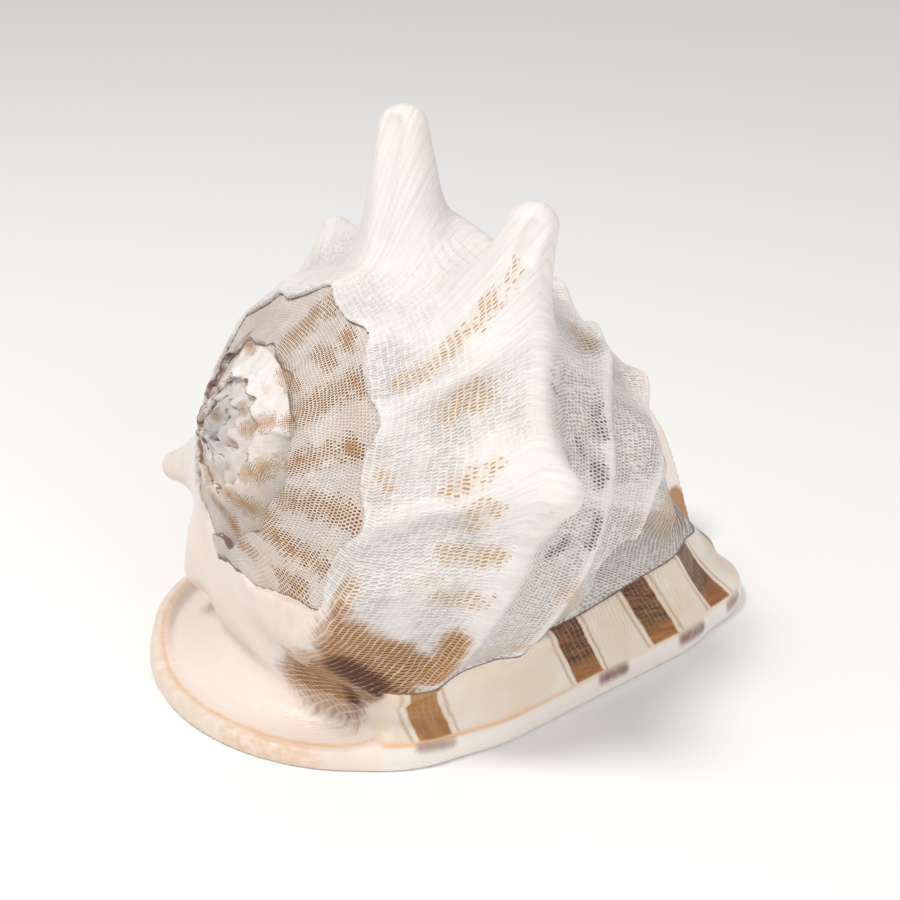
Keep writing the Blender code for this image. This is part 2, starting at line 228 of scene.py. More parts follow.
def spire_rule(place, depth, radius, angle, turns):
    """How far a place lies outside the earlier whorls, and how far from where two of them meet."""
    spire = None
    seam = None
    suture_depth = grown(SUTURE_DEPTH, WHORL_GROWTH, turns)
    slope = SUTURE_DEPTH / SUTURE_RADIUS
    reach = suture_depth / slope * (nodule(angle, 1) * SPIRE_BULGE + 1.0)
    worn = (noise(place, WEAR_SCALE, 3.0, 0.6) - 0.5) * radius.ramp(*WEAR_RADII, *WEAR_HEIGHTS)
    for whorl, (lap, lap_wave, sink, flap) in enumerate(SPIRE_SUTURES, 1):
        outer = WHORL_GROWTH ** (1 - whorl)
        inner = WHORL_GROWTH ** -whorl
        start_radius = suture_depth * (inner / slope)
        edge_radius = suture_depth * (outer / slope)
        share = (radius - start_radius) / (edge_radius - start_radius)
        crest = nodule(angle, whorl + 1)
        line = start_radius * (crest * lap_wave + 1.0)
        fold = crest * share.ramp(FOLD_END, 0.0) * (start_radius * SPIRE_FOLD)
        rise = lap * share.ramp(LAP_END, 0.0) + fold
        rise = rise - swell(share, SINK_PLACE, SINK_WIDTH) * sink * start_radius
        broken = flap * angle.ramp(*FLAP_TOP) * angle.ramp(*FLAP_FOOT)
        rise = rise + broken * share.ramp(*FLAP_SHARE)
        top = radius * slope - depth - rise
        step = high(top, line - radius, EDGE_ROUND)
        step = high(step, depth - suture_depth - SPIRE_THICKNESS)
        step = high(step, radius - reach)
        reach = line + 1.0
        if spire is None:
            spire = step
        else:
            gap = abs(spire - step)
            seam = gap if seam is None else low(seam, gap)
            spire = low(spire, step, WHORL_BLEND)
    tip = length(depth - TIP_DEPTH, radius) - TIP_RADIUS
    return low(spire, tip, TIP_BLEND) + worn, seam


# Last whorl
# The last whorl is most of the shell. Folds of the growing edge run out over its ramp to seven
# hollow horns on the shoulder, two rows of knobs go round its side, and its front end draws out
# into the canal. Towards the outer lip its sutures and shoulder stop rising.

TURN = 360.0

# Angles round the axis: end of the outer lip, and where sutures and shoulder stop rising.
LIP_ANGLE = 150.0
FADE_START = 125.0
FADE_END = 180.0

# Shoulder: growth in one turn, radius and depth at the lip. Base: depth, and end past it. Early
# in the whorl the shoulder follows the spire's sutures, a little out and up, with lower folds.
SHOULDER_GROWTH = 1.33
SHOULDER_RADIUS = 84.0
SHOULDER_DEPTH = 60.0
BASE_DEPTH = 170.0
BASE_END = 6.0
EARLY_SHOULDER = 1.01
EARLY_LIFT = 0.02
EARLY_FOLD_LOSS = 0.6

# Waist before the lip: angles where it starts, is deepest and ends, and its share of the radius.
WAIST_ANGLES = (40.0, 140.0, 180.0)
WAIST = 0.11

# Dip of the shoulder between the two nearest horns: angle, width and share of the radius.
SHOULDER_DIP = (56.0, 11.0, 0.04)

# How far growth lines lean back between suture and shoulder, in degrees for each millimetre.
LEAN = 0.65
LEAN_REACH = 32.0

# Sizes that the surface takes as its own inputs, in millimetres.
SIZES = {
    "Wall": 5.0,
    "Suture wave": 3.0,
    "Suture rim": 1.9,
    "Ramp hollow": 3.5,
    "Ramp bulge": 7.0,
    "Fold width": 4.0,
    "Keel height": 2.5,
    "Cord height": 0.6,
    "Horn blend": 15.0,
    "Bead height": 8.8,
    "Shield rise": 6.0,
    "Lip step": 1.3,
    "Tooth height": 1.4,
    "Dish depth": 5.0,
}
sized = dict(SIZES)

# Suture: step and rim of the lapping edge, its line against the whorl before, the knots in it and
# the stretch where it runs nearer to the axis: angle, width and share of the radius.
SUTURE_STEP = 3.8
SUTURE_LIP = 1.7
SUTURE_LIP_ROUND = 4.0
SUTURE_LINE = 0.97
SUTURE_LINE_WAVE = 0.075
SUTURE_KNOT = 3.4
KNOT_PLACE = 0.03
KNOT_WIDTH = 0.2
SUTURE_RIM_PLACE = -0.1
SUTURE_RIM_WIDTH = 0.25
SUTURE_DIP = (-22.0, 17.0, 0.09)

# Hollow across the ramp, which turns into a bulge between these angles.
HOLLOW_PLACE = 0.45
HOLLOW_WIDTH = 0.3
BULGE_ANGLES = (84.0, 128.0)

# Folds that run from the suture out to the horns: growth angle and height.
FOLDS = (
    (-152.0, 1.6),
    (-120.0, 1.6),
    (-82.0, 1.8),
    (-45.0, 2.0),
    (-14.0, 2.8),
    (15.0, 1.2),
    (41.0, 4.2),
    (72.0, 4.2),
    (93.0, 1.2),
)

# Side: how it tapers to the base, and rounding of the shoulder, late and early in the whorl.
SIDE_END = 1.3
SIDE_TAPER = 0.45
BASE_TAPER = 0.38
BASE_TAPER_POWER = 2.4
SIDE_SLOPE = 0.85
SHOULDER_ROUND = 16.0
EARLY_ROUND = 9.0

# Lower rows: place between shoulder and base, width, ridge height, first knob, knobs, knob height.
KNOB_ROWS = (
    (0.33, 5.0, 2.2, 36.0, 13, 4.0),
    (0.57, 4.5, 2.6, 31.0, 11, 5.0),
)
KNOB_FADE = (45.0, 75.0)
LATE_KNOB = 0.4

# Cords across the saddle between two horns: pitch, growth angle and width, place and width.
CORD_SLOPE = 0.35
SADDLE_PITCH = 3.1
SADDLE_GROWTH = (14.0, 18.0)
SADDLE_PLACE = (0.75, 0.35)

# Keel at the shoulder, and the wrinkles between its horns.
KEEL_DROP = 5.0
KEEL_WIDTH = 6.0
WRINKLE_PITCH = 2.6
WRINKLE_ANGLES = (61.0, 6.0)
WRINKLE_DROP = 3.0
WRINKLE_WIDTH = 5.0
WRINKLE_HEIGHT = 0.45

# Main horns: angle of the root and of the tip, depth and radius of the tip, radius of the horn
# at its root and at its tip, and how far the root is shifted along the axis.
HORNS = (
    (-152.0, -152.0, 31.0, 67.0, 8.0, 4.5, -17.0),
    (-120.0, -120.0, 28.0, 75.0, 10.0, 5.0, -13.0),
    (-80.0, -80.0, 42.0, 72.7, 9.5, 5.0, -7.0),
    (-42.0, -42.0, 47.0, 76.0, 9.5, 3.2, -3.0),
    (-4.0, -4.0, 32.0, 95.0, 14.0, 7.5, -8.0),
    (36.0, 26.0, 52.0, 92.5, 13.0, 7.3, 0.0),
    (74.0, 74.0, 64.0, 80.5, 14.5, 6.3, 4.0),
)
HORN_ROOT_SINK = 12.0

# Hollow faces of the two tallest horns: places and radii of the round bars that press them in.
SCOOPS = (
    ((-43.4, -6, 176), (-51.5, -13.2, 146), 4.8, 7.4),
    ((-25.7, -56.8, 157), (-28.1, -57.2, 150.5), 4.2, 4.6),
)
SCOOP_ROUND = 1.3

# Siphonal canal, flare where the whorl runs down into the outer lip, and swelling of the near side
# between the last knob row and the canal: start, end and radii, and the blend of each.
CANAL = (Vector((24, -8, 50)), Vector((88, 0, 10)), 16.0, 8.0)
CANAL_BLEND = 18.0
FLARE = (Vector((-77, -43, 42)), Vector((-60, -52, 33)), 13.0, 13.5)
FLARE_BLEND = 14.0
SWELLING = (Vector((16, -50, 84)), Vector((50, -25, 43)), 9.0, 7.0)
SWELLING_BLEND = 16.0


def between(first, second, share):
    return first + (second - first) * share


def rod(place, start, end, start_radius, end_radius):
    """A round bar with its own radius at each end."""
    way = end - start
    share = Rule.vector("DOT_PRODUCT", 1, place, way).ramp(
        start.dot(way), end.dot(way), kind="LINEAR"
    )
    gap = Rule.vector("DISTANCE", 1, place, Rule.span(start, end, share))
    return gap - share.ramp(0.0, 1.0, start_radius, end_radius, "LINEAR")


def coil_place(angle, depth, radius):
    """The place at an angle round the axis, a depth from the apex and a radius."""
    turn = math.radians(angle)
    up = ABOVE * (radius * math.cos(turn))
    return APEX + ALONG * depth + up + NEAR * (radius * math.sin(turn))


def ramp_gap(depth, radius, inner_depth, inner_radius, outer_depth, outer_radius):
    """Distance above the line from the suture out to the shoulder."""
    run = outer_radius - inner_radius
    drop = outer_depth - inner_depth
    return ((inner_depth - depth) * run + (radius - inner_radius) * drop) / length(run, drop)


def last_whorl_rule(place, depth, radius, angle, turns):
    """How far a place lies outside the last whorl, with its edge, horns and folds apart."""
    fade = angle.ramp(FADE_START, FADE_END)
    early = high(angle.ramp(0.0, -180.0), fade)
    turns = turns - fade
    suture_depth = grown(SUTURE_DEPTH, WHORL_GROWTH, turns)
    suture_radius = suture_depth * (SUTURE_RADIUS / SUTURE_DEPTH)
    girth = grown(SHOULDER_RADIUS, SHOULDER_GROWTH, turns)
    shoulder_depth = between(
        girth * (SHOULDER_DEPTH / SHOULDER_RADIUS), suture_depth * WHORL_GROWTH, early
    )
    shoulder_radius = between(girth, suture_radius * (WHORL_GROWTH * EARLY_SHOULDER), early)
    waist_start, waist_peak, waist_end = WAIST_ANGLES
    waist = angle.ramp(waist_start, waist_peak) * angle.ramp(waist_peak, waist_end, 1.0, 0.0)
    dip_angle, dip_width, dip = SHOULDER_DIP
    waisted = 1.0 - waist * WAIST - swell(angle, dip_angle, dip_width) * dip
    shoulder_radius = shoulder_radius * waisted

    top = ramp_gap(depth, radius, suture_depth, suture_radius, shoulder_depth, shoulder_radius)
    share = (radius - suture_radius) / (shoulder_radius - suture_radius)
    lean = high(low(shoulder_depth - depth, LEAN_REACH), 0.0) * LEAN
    growth = angle - lean
    fold = None
    for fold_angle, height in FOLDS:
        gap = (growth - fold_angle) / sized["Fold width"]
        ridge = height / (gap * gap + 1.0)
        fold = ridge if fold is None else fold + ridge
    knot = nodule(angle, 1)
    fold = fold + knot * swell(share, KNOT_PLACE, KNOT_WIDTH) * SUTURE_KNOT
    folded = share.ramp(1.5, 1.0) * share.ramp(-0.1, 0.6, 0.5, 1.1)
    top = top - fold * folded * (1.0 - early * EARLY_FOLD_LOSS)
    hollow_height = angle.ramp(*BULGE_ANGLES, sized["Ramp hollow"], -sized["Ramp bulge"])
    late = 1.0 - early
    hollow = late * swell(share, HOLLOW_PLACE, HOLLOW_WIDTH) * hollow_height
    top = top + hollow - early * shoulder_radius * EARLY_LIFT
    top = top - swell(share, SUTURE_RIM_PLACE, SUTURE_RIM_WIDTH) * sized["Suture rim"]

    reach = high(low((depth - shoulder_depth) / (BASE_DEPTH - shoulder_depth), SIDE_END), 0.0)
    tapered = 1.0 - reach * SIDE_TAPER - reach ** BASE_TAPER_POWER * BASE_TAPER
    side_radius = shoulder_radius * tapered
    for place_share, width, ridge, shift, count, knob in KNOB_ROWS:
        crest = (wave(angle, count, shift) * 0.5 + 0.5) * angle.ramp(*KNOB_FADE, 1.0, LATE_KNOB)
        centre = between(shoulder_depth, BASE_DEPTH, place_share)
        side_radius = side_radius + swell(depth, centre, width) * (crest * crest * knob + ridge)
    side = (radius - side_radius) * SIDE_SLOPE

    across = (depth + radius * CORD_SLOPE) / girth * SHOULDER_RADIUS
    saddle = swell(growth, *SADDLE_GROWTH) * swell(share, *SADDLE_PLACE)
    top = top - wave(across, TURN / SADDLE_PITCH) * saddle * sized["Cord height"]
    keel = swell(depth, shoulder_depth + KEEL_DROP, KEEL_WIDTH) * late * sized["Keel height"]
    wrinkle = wave(angle, TURN / WRINKLE_PITCH) * swell(angle, *WRINKLE_ANGLES) * WRINKLE_HEIGHT
    keel = keel + wrinkle * swell(depth, shoulder_depth + WRINKLE_DROP, WRINKLE_WIDTH)
    whorl = high(top, side, between(SHOULDER_ROUND, EARLY_ROUND, early)) - keel
    edge = suture_depth - SUTURE_STEP + knot * sized["Suture wave"]
    lapping = radius * (SUTURE_DEPTH / SUTURE_RADIUS) - SUTURE_LIP - depth
    whorl = high(whorl, lapping, SUTURE_LIP_ROUND)
    dip_angle, dip_width, dip = SUTURE_DIP
    line = knot * SUTURE_LINE_WAVE + SUTURE_LINE - swell(angle, dip_angle, dip_width) * dip
    whorl = high(whorl, suture_radius * line - radius, EDGE_ROUND)
    whorl = high(whorl, depth - BASE_DEPTH - BASE_END)
    whorl = low(whorl, rod(place, *CANAL), CANAL_BLEND)
    whorl = low(whorl, rod(place, *FLARE), FLARE_BLEND)
    whorl = low(whorl, rod(place, *SWELLING), SWELLING_BLEND)
    horn = None
    for root_angle, tip_angle, tip_depth, tip_radius, root_size, tip_size, shift in HORNS:
        grown_by = SHOULDER_GROWTH ** ((root_angle - LIP_ANGLE) / TURN)
        root = coil_place(
            root_angle,
            SHOULDER_DEPTH * grown_by + shift,
            SHOULDER_RADIUS * grown_by - HORN_ROOT_SINK,
        )
        tip = coil_place(tip_angle, tip_depth, tip_radius)
        spine = rod(place, root, tip, root_size, tip_size)
        horn = spine if horn is None else low(horn, spine)
        whorl = low(whorl, spine, sized["Horn blend"])
    for start, end, start_size, end_size in SCOOPS:
        scoop = rod(place, Vector(start), Vector(end), start_size, end_size)
        whorl = high(whorl, -scoop, SCOOP_ROUND)
    return whorl, edge, horn, fold


# Base
# Round the mouth the animal laid down a thick plate, on which the shell stands. The outer lip on
# the near side has a step and a bead, and a wide smooth callus shield with a thin raised margin
# lies on the far side.

# The outline is seen from above as round lobes drawn out from one place to another: x, y and
# radius of each end.
OUTLINE_LOBES = (
    (-51.0, -4.0, 61.0, 71.0, -3.0, 27.8),
    (-49.0, 8.0, 51.8, 31.0, 17.0, 43.8),
    (-32.0, -18.0, 45.4, 41.0, -3.0, 40.4),
)
OUTLINE_BLEND = 14.0

# Places along x or y, named so, are where a form starts and where it is full.
SHIELD_SLOPE = 22.0
SHIELD_POWER = 1.6
LIP_Y = (14.0, -24.0)
LIP_X = (-74.0, -44.0)
NOSE_X = (52.0, 90.0)
LIP_STEEPNESS = 1.7
NOSE_STEEPNESS = 0.5
LIP_FLARE = 0.024
LIP_HEIGHT = 54.0
LIP_ROUND = 12.0
LIP_SLOPE = 0.55

# Plate: thickness and rounding of its rim, at the lobe behind the spire and along the lip.
PLATE_X = (-85.0, -55.0)
PLATE_THICKNESS = (6.2, 8.3)
PLATE_ROUND = 4.0
RIM_X = (-80.0, -50.0)
RIM_ROUND = (1.4, 5.0)
BEAD_SHARE = (0.33, 0.5)
BEAD_OUT = 0.4
BEAD_BLEND = 1.5

# Margin of the shield, and the collar that it rises to at the front.
MARGIN_Y = (-4.0, 34.0)
MARGIN_RISE = 6.0
MARGIN_INSET = 3.0
MARGIN_THICKNESS = 5.2
MARGIN_LEAN = 0.15
MARGIN_FOOT = 8.0
MARGIN_ROUND = 4.0
MARGIN_BLEND = 5.0
NO_MARGIN = 12.0
COLLAR_Y = (2.0, 34.0)
COLLAR_X = (-3.0, 52.0)
COLLAR_HEIGHT = 48.0


def outline_rule(x, y):
    """Distance outside the base's outline, seen from above."""
    outline = None
    for start_x, start_y, start_size, end_x, end_y, end_size in OUTLINE_LOBES:
        way_x = end_x - start_x
        way_y = end_y - start_y
        reach = way_x * way_x + way_y * way_y
        share = ((x - start_x) * way_x + (y - start_y) * way_y).ramp(0.0, reach, kind="LINEAR")
        gap = length(x - start_x - share * way_x, y - start_y - share * way_y)
        lobe = gap - share.ramp(0.0, 1.0, start_size, end_size, "LINEAR")
        outline = lobe if outline is None else low(outline, lobe, OUTLINE_BLEND)
    return outline


def base_rule(x, y, z, rim):
    """Lip band on the near side, shield on the far side, bead and raised margin."""
    inset = high(-rim, 0.0)
    lip_side = y.ramp(*LIP_Y) * x.ramp(*LIP_X)
    slope = Rule.math("EXPONENT", -((inset / SHIELD_SLOPE) ** SHIELD_POWER))
    shield = (1.0 - slope) * sized["Shield rise"]
    steepness = x.ramp(*NOSE_X, LIP_STEEPNESS, NOSE_STEEPNESS)
    lip = low(inset * (steepness + inset * LIP_FLARE), LIP_HEIGHT, LIP_ROUND)
    rise = between(shield, lip, lip_side)
    thickness = x.ramp(*PLATE_X, *PLATE_THICKNESS)
    plate = high((z - thickness - rise) * between(1.0, LIP_SLOPE, lip_side), -z, PLATE_ROUND)
    plate = high(plate, rim, x.ramp(*RIM_X, *RIM_ROUND))
    bead_size = sized["Bead height"] * x.ramp(*RIM_X, *BEAD_SHARE)
    bead = length(rim + bead_size - BEAD_OUT, z - bead_size) - bead_size
    plate = low(plate, bead, BEAD_BLEND)
    collar = y.ramp(*COLLAR_Y) * x.ramp(*COLLAR_X) * COLLAR_HEIGHT
    raised = y.ramp(*MARGIN_Y)
    top = raised * MARGIN_RISE + collar - raised.ramp(0.15, 0.0) * NO_MARGIN
    sheet = abs(rim - (z - MARGIN_FOOT) * MARGIN_LEAN + MARGIN_INSET) - MARGIN_THICKNESS * 0.5
    margin = high(sheet, z - MARGIN_RISE - top, MARGIN_ROUND)
    return low(plate, margin, MARGIN_BLEND)


# Aperture and chamber
# The mouth is a long slit with teeth on both sides, which opens into the hollow of the last
# whorl, where the animal lived. The pillar round the axis and the earlier whorls stay solid.

# Blend of whorls and base: along x, and from the rim inwards.
BLEND_X = (-58.0, -8.0)
WHORL_BASE_BLEND = (46.0, 20.0)
BLEND_INSET = (0.0, 28.0)
RIM_BLEND = (0.15, 1.0)
SPIRE_SKIN = 0.8
SPIRE_FOOT = (42.0, 34.0)
SPIRE_SINK = 6.0

# Band of the outer lip, which overlaps the whorl with a step.
BAND_Y = (7.0, -18.0)
BAND_X = (-76.0, -58.0)
LIP_BAND = 27.0
LIP_BAND_GROWTH = 4.0
LIP_BAND_X = (0.0, 60.0)

COLUMELLA_RADIUS = 13.0
COLUMELLA_ROUND = 9.0
ROOF_THICKNESS = 7.0
CHAMBER_DEPTH = 130.0
SEPTUM_BACK = 5.0
SEPTUM_SIDE = 0.64
SEPTUM_UP = 0.77
FLOOR_THICKNESS = 9.0
FLOOR_ROUND = 6.0
SLIT_INSET = 34.0
SLIT_HALF_WIDTH = 8.0
SLIT_MIDDLE = 8.0
SLIT_HALF_LENGTH = 76.0
SLIT_END_ROUND = 12.0
SLIT_FAR_SIDE = 4.0
SLIT_X = (5.0, 45.0)
SLIT_HEIGHTS = (40.0, 7.0)
SLIT_BLEND = 6.0
TOOTH_PITCH = 11.0
TOOTH_Z = (12.0, 16.0)
DISH_WIDTH = 16.0
DISH_Y = (10.0, -10.0)


def band_rule(inset, x, y, z):
    """How far a place lies above the band of the outer lip, and how far it is on the lip's side."""
    band = length(inset, z) - x.ramp(*LIP_BAND_X, LIP_BAND, LIP_BAND + LIP_BAND_GROWTH)
    return band, y.ramp(*BAND_Y) * x.ramp(*BAND_X)


def shell_rule(place, x, y, z):
    """How far a place lies outside body, spire, whorl and horns, with its folds and seams."""
    depth, sideways, upward, radius, angle = coil(place)
    turns = (angle - LIP_ANGLE) / TURN
    spire, spire_seam = spire_rule(place, depth, radius, angle, turns)
    spire = spire + z.ramp(*SPIRE_FOOT) * SPIRE_SINK
    whorl, edge, horn, fold = last_whorl_rule(place, depth, radius, angle, turns)
    seam = low(abs(whorl - spire), high(spire_seam, spire))
    rim = outline_rule(x, y)
    base = base_rule(x, y, z, rim)
    inset = high(-rim, 0.0)

    blend = x.ramp(*BLEND_X, *WHORL_BASE_BLEND) * inset.ramp(*BLEND_INSET, *RIM_BLEND)
    shell = low(low(whorl, spire + SPIRE_SKIN), base, blend)
    band, lip_side = band_rule(inset, x, y, z)
    shell = shell - band.ramp(0.5, -0.5) * lip_side * sized["Lip step"]

    hollow = high(whorl + sized["Wall"], COLUMELLA_RADIUS - radius, COLUMELLA_ROUND)
    hollow = high(hollow, edge + ROOF_THICKNESS - depth)
    hollow = high(hollow, depth - CHAMBER_DEPTH)
    septum = low(-sideways - SEPTUM_BACK, sideways * SEPTUM_SIDE - upward * SEPTUM_UP)
    hollow = high(hollow, septum)
    hollow = high(hollow, FLOOR_THICKNESS - z, FLOOR_ROUND)
    tooth = (wave(x, TURN / TOOTH_PITCH) * 0.5 + 0.5) * z.ramp(*TOOTH_Z, sized["Tooth height"], 0.0)
    slit = abs(inset - SLIT_INSET) - SLIT_HALF_WIDTH + tooth
    slit = high(slit, abs(x - SLIT_MIDDLE) - SLIT_HALF_LENGTH, SLIT_END_ROUND)
    slit = high(high(slit, y + SLIT_FAR_SIDE), z - x.ramp(*SLIT_X, *SLIT_HEIGHTS))
    inside = low(hollow, slit, SLIT_BLEND)
    shell = high(shell, -inside)
    dish = swell(inset, SLIT_INSET, DISH_WIDTH) * y.ramp(*DISH_Y) * sized["Dish depth"]
    shell = high(shell, dish - z)
    return shell, high(spire, -inside), whorl, horn, fold, seam


# Body
# The outside of the last whorl, horns, canal, lip and shield is one skin of white chalky lime
# with a net of riblets and cords. Fresh lime laid over it by the animal is smooth and glossy:
# the pink callus of the shield and the cream lip with its brown bars.

MM = 0.001

# Middle of the shell's box on the floor, which is the origin of the frame. The rules count from
# another place, and this is the step between the two.
MIDDLE = Vector((-6.34, -13.45, 0))

# Block that is filled, step of its grid and most triangles.
BODY_BLOCK = (
    Vector((-118, -102, -3)),
    Vector((105, 76, 186)),
    0.9,
    194000,
)
FAR_OUTSIDE = 50.0

# What each point is noted with: distances outside whorl and horns, height of the folds, seams.
NOTES = ("off_whorl", "off_horn", "fold", "seam")


def split(place):
    """The x, y and z of a place."""
    parts = Rule.node("ShaderNodeSeparateXYZ", {}, {0: place})
    return [Rule(socket) for socket in parts.outputs]


def grow(name, part, block, finish):
    """Fills part 0 of the rule, the body, or 1, the spire, as a volume and keeps its surface."""
    block_low, block_high, step, most = block
    tree = bpy.data.node_groups.new(name, "GeometryNodeTree")
    tree.interface.new_socket("Geometry", in_out="OUTPUT", socket_type="NodeSocketGeometry")
    settings = {}
    for label, value in SIZES.items():
        socket = tree.interface.new_socket(label, in_out="INPUT", socket_type="NodeSocketFloat")
        settings[socket.identifier] = value
    socket = tree.interface.new_socket("Finish", in_out="INPUT", socket_type="NodeSocketMaterial")
    settings[socket.identifier] = finish
    Rule.tree = tree
    given = Rule.node("NodeGroupInput", {}, {})
    for label in SIZES:
        sized[label] = Rule(given.outputs[label])
    metres = Rule(Rule.node("GeometryNodeInputPosition", {}, {}).outputs[0])
    place = Rule.vector("MULTIPLY_ADD", 0, metres, (1.0 / MM,) * 3, MIDDLE)
    x, y, z = split(place)
    outside = shell_rule(place, x, y, z)
    size = block_high - block_low
    volume = Rule.node(
        "GeometryNodeVolumeCube",
        {},
        {
            "Density": outside[part] * -1.0,
            "Background": -FAR_OUTSIDE,
            "Min": (block_low - MIDDLE) * MM,
            "Max": (block_high - MIDDLE) * MM,
            "Resolution X": round(size.x / step) + 1,
            "Resolution Y": round(size.y / step) + 1,
            "Resolution Z": round(size.z / step) + 1,
        },
    )
    surface = Rule.node("GeometryNodeVolumeToMesh", {}, {"Threshold": 0.0})
    notes = []
    for label, value in zip(NOTES, outside[2:]):
        note = Rule.node(
            "GeometryNodeStoreNamedAttribute",
            {"data_type": "FLOAT", "domain": "POINT"},
            {"Name": label, "Value": value},
        )
        notes.append(note)
    realized = Rule.node("GeometryNodeRealizeInstances", {}, {})
    finished = Rule.node("GeometryNodeSetMaterial", {}, {"Material": Rule(given.outputs["Finish"])})
    out = Rule.node("NodeGroupOutput", {}, {})
    chain = (volume, surface, *notes, realized, finished, out)
    for first, second in zip(chain, chain[1:]):
        tree.links.new(first.outputs[0], second.inputs[0])

    thing = bpy.data.objects.new(name, bpy.data.meshes.new(name))
    bpy.context.scene.collection.objects.link(thing)
    skin = thing.modifiers.new("Surface", "NODES")
    skin.node_group = tree
    for identifier, value in settings.items():
        skin[identifier] = value
    settle(thing)
    count = sum(len(face.vertices) - 2 for face in thing.data.polygons)
    if count > most:
        fewer = thing.modifiers.new("Fewer triangles", "DECIMATE")
        fewer.ratio = most / count
        fewer.use_collapse_triangulate = True
        settle(thing)
    thing.data.polygons.foreach_set("use_smooth", [True] * len(thing.data.polygons))
    return thing


def settle(thing):
    """Turns the modifiers into a plain mesh."""
    graph = bpy.context.evaluated_depsgraph_get()
    mesh = bpy.data.meshes.new_from_object(thing.evaluated_get(graph))
    thing.modifiers.clear()
    thing.data = mesh


def tint(share, first, second):
    """A colour a share of the way from one to another."""
    made = Rule.node("ShaderNodeMix", {"data_type": "RGBA"}, {0: share, 6: first, 7: second})
    return Rule(made.outputs[2])


def grid_place(first, second):
    made = Rule.node("ShaderNodeCombineXYZ", {}, {0: first, 1: second})
    return Rule(made.outputs[0])


def fraction(value):
    return Rule.math("FRACT", value)


def chance(first, second):
    """A number from 0 to 1 that is the same all over one cell of the net."""
    cell = grid_place(Rule.math("FLOOR", first), Rule.math("FLOOR", second))
    made = Rule.node("ShaderNodeTexWhiteNoise", {"noise_dimensions": "3D"}, {"Vector": cell})
    return Rule(made.outputs["Value"])


def near_line(value, inner, outer):
    """Goes from zero to one with the distance from the middle of each cell, or back."""
    return abs(fraction(value) - 0.5).ramp(inner, outer)


# Shift from one row of pits to the next, in pits.
PIT_STAGGER = 0.43


def pits(along, across):
    """Staggered pits between riblets and cords: one in a pit, zero on the net between."""
    column = along + Rule.math("FLOOR", across) * PIT_STAGGER
    return near_line(column, 0.40, 0.06) * near_line(across, 0.48, 0.20), chance(column, across)


def amount(place, marks, edge=None):
    """How strongly a place is marked. A mark fades over its own half-width or over an edge."""
    total = None
    for start, end, size, strength in marks:
        gap = rod(place, Vector(start), Vector(end), size, size)
        fade = edge or size
        mark = gap.ramp(fade, -fade, 0.0, strength)
        total = mark if total is None else high(total, mark)
    return total


def flecked(colour, marked, pit, picked, ragged, wash, fleck):
    """Colours single pits inside a mark and gives the net round them a weak wash."""
    broken = (marked + (ragged - 0.5) * 1.5) * marked.ramp(0.0, 0.3)
    colour = tint(broken.ramp(0.0, 1.1, 0.0, 0.6), colour, wash)
    return tint(pit.ramp(0.1, 0.8) * (broken * 1.5 - picked).ramp(-0.1, 0.6), colour, fleck)


def new_finish(name):
    material = bpy.data.materials.new(name)
    material.use_nodes = True
    Rule.tree = material.node_tree
    metres = Rule(Rule.node("ShaderNodeTexCoord", {}, {}).outputs["Object"])
    place = Rule.vector("MULTIPLY_ADD", 0, metres, (1.0 / MM,) * 3, MIDDLE)
    return material, place


def noted(label):
    """A value that the mesh carries at every point."""
    return Rule(Rule.node("ShaderNodeAttribute", {"attribute_name": label}, {}).outputs["Fac"])


def close_finish(material, colour, relief):
    """Wires the colour and a relief in millimetres to the surface, and gives the surface."""
    surface = material.node_tree.nodes["Principled BSDF"]
    bump = Rule.node("ShaderNodeBump", {}, {"Strength": 1.0, "Distance": MM, "Height": relief})
    material.node_tree.links.new(colour.socket, surface.inputs["Base Color"])
    material.node_tree.links.new(bump.outputs[0], surface.inputs["Normal"])
    surface.inputs["Specular IOR Level"].default_value = GLOSS
    return surface


# Lime of the net and of its pits, each plain and marked. The plain pit colours are painted shade in
# the pits, the deeper one on the side below the shoulder.
WHITE = (0.80, 0.762, 0.742, 1.0)
WORN_WHITE = (0.70, 0.655, 0.632, 1.0)
PALE_PIT_SHADE = (0.60, 0.53, 0.48, 1.0)
DEEP_PIT_SHADE = (0.45, 0.37, 0.32, 1.0)
TAN = (0.68, 0.53, 0.38, 1.0)
TAN_PIT = (0.45, 0.28, 0.135, 1.0)
PURPLE = (0.46, 0.38, 0.37, 1.0)
PURPLE_PIT = (0.10, 0.06, 0.065, 1.0)
BROWN = (0.42, 0.20, 0.065, 1.0)
BROWN_PIT = (0.19, 0.075, 0.022, 1.0)
DARK_BROWN = (0.13, 0.04, 0.018, 1.0)
DARK_PIT = (0.05, 0.014, 0.007, 1.0)
THREAD = (0.74, 0.61, 0.46, 1.0)
NET_BEIGE = (0.60, 0.45, 0.34, 1.0)
SMUDGE_BROWN = (0.20, 0.09, 0.06, 1.0)

# Painted shade for the seams and the lip band's upper edge, then callus, lip and bead.
SEAM_SHADE = (0.20, 0.12, 0.09, 1.0)
PINK_CREAM = (0.80, 0.68, 0.62, 1.0)
PALE_CREAM = (0.81, 0.735, 0.685, 1.0)
CREAM = (0.75, 0.64, 0.52, 1.0)
LIP_WHITE = (0.79, 0.72, 0.65, 1.0)
BEAD_WHITE = (0.80, 0.745, 0.695, 1.0)
PEACH = (0.72, 0.45, 0.24, 1.0)
ORANGE_BROWN = (0.25, 0.09, 0.026, 1.0)
BAR_BROWN = (0.085, 0.03, 0.012, 1.0)
NET_WHITE = (0.42, 0.31, 0.23, 1.0)

# Net: degrees between two riblets, and pitch of the cords on the ramp and on the side. The edge
# between ramp and side lies this far past the shoulder.
RIBLET_PITCH = 0.88
RAMP_CORD_PITCH = 2.0
SIDE_CORD_PITCH = 1.8
SIDE_START = (6.0, 18.0)

# Noise of wide clouds and of ragged edges: scale, detail and roughness.
CLOUDS = (0.035, 4.0, 0.6)
RAGGED = (0.28, 3.0, 0.65)

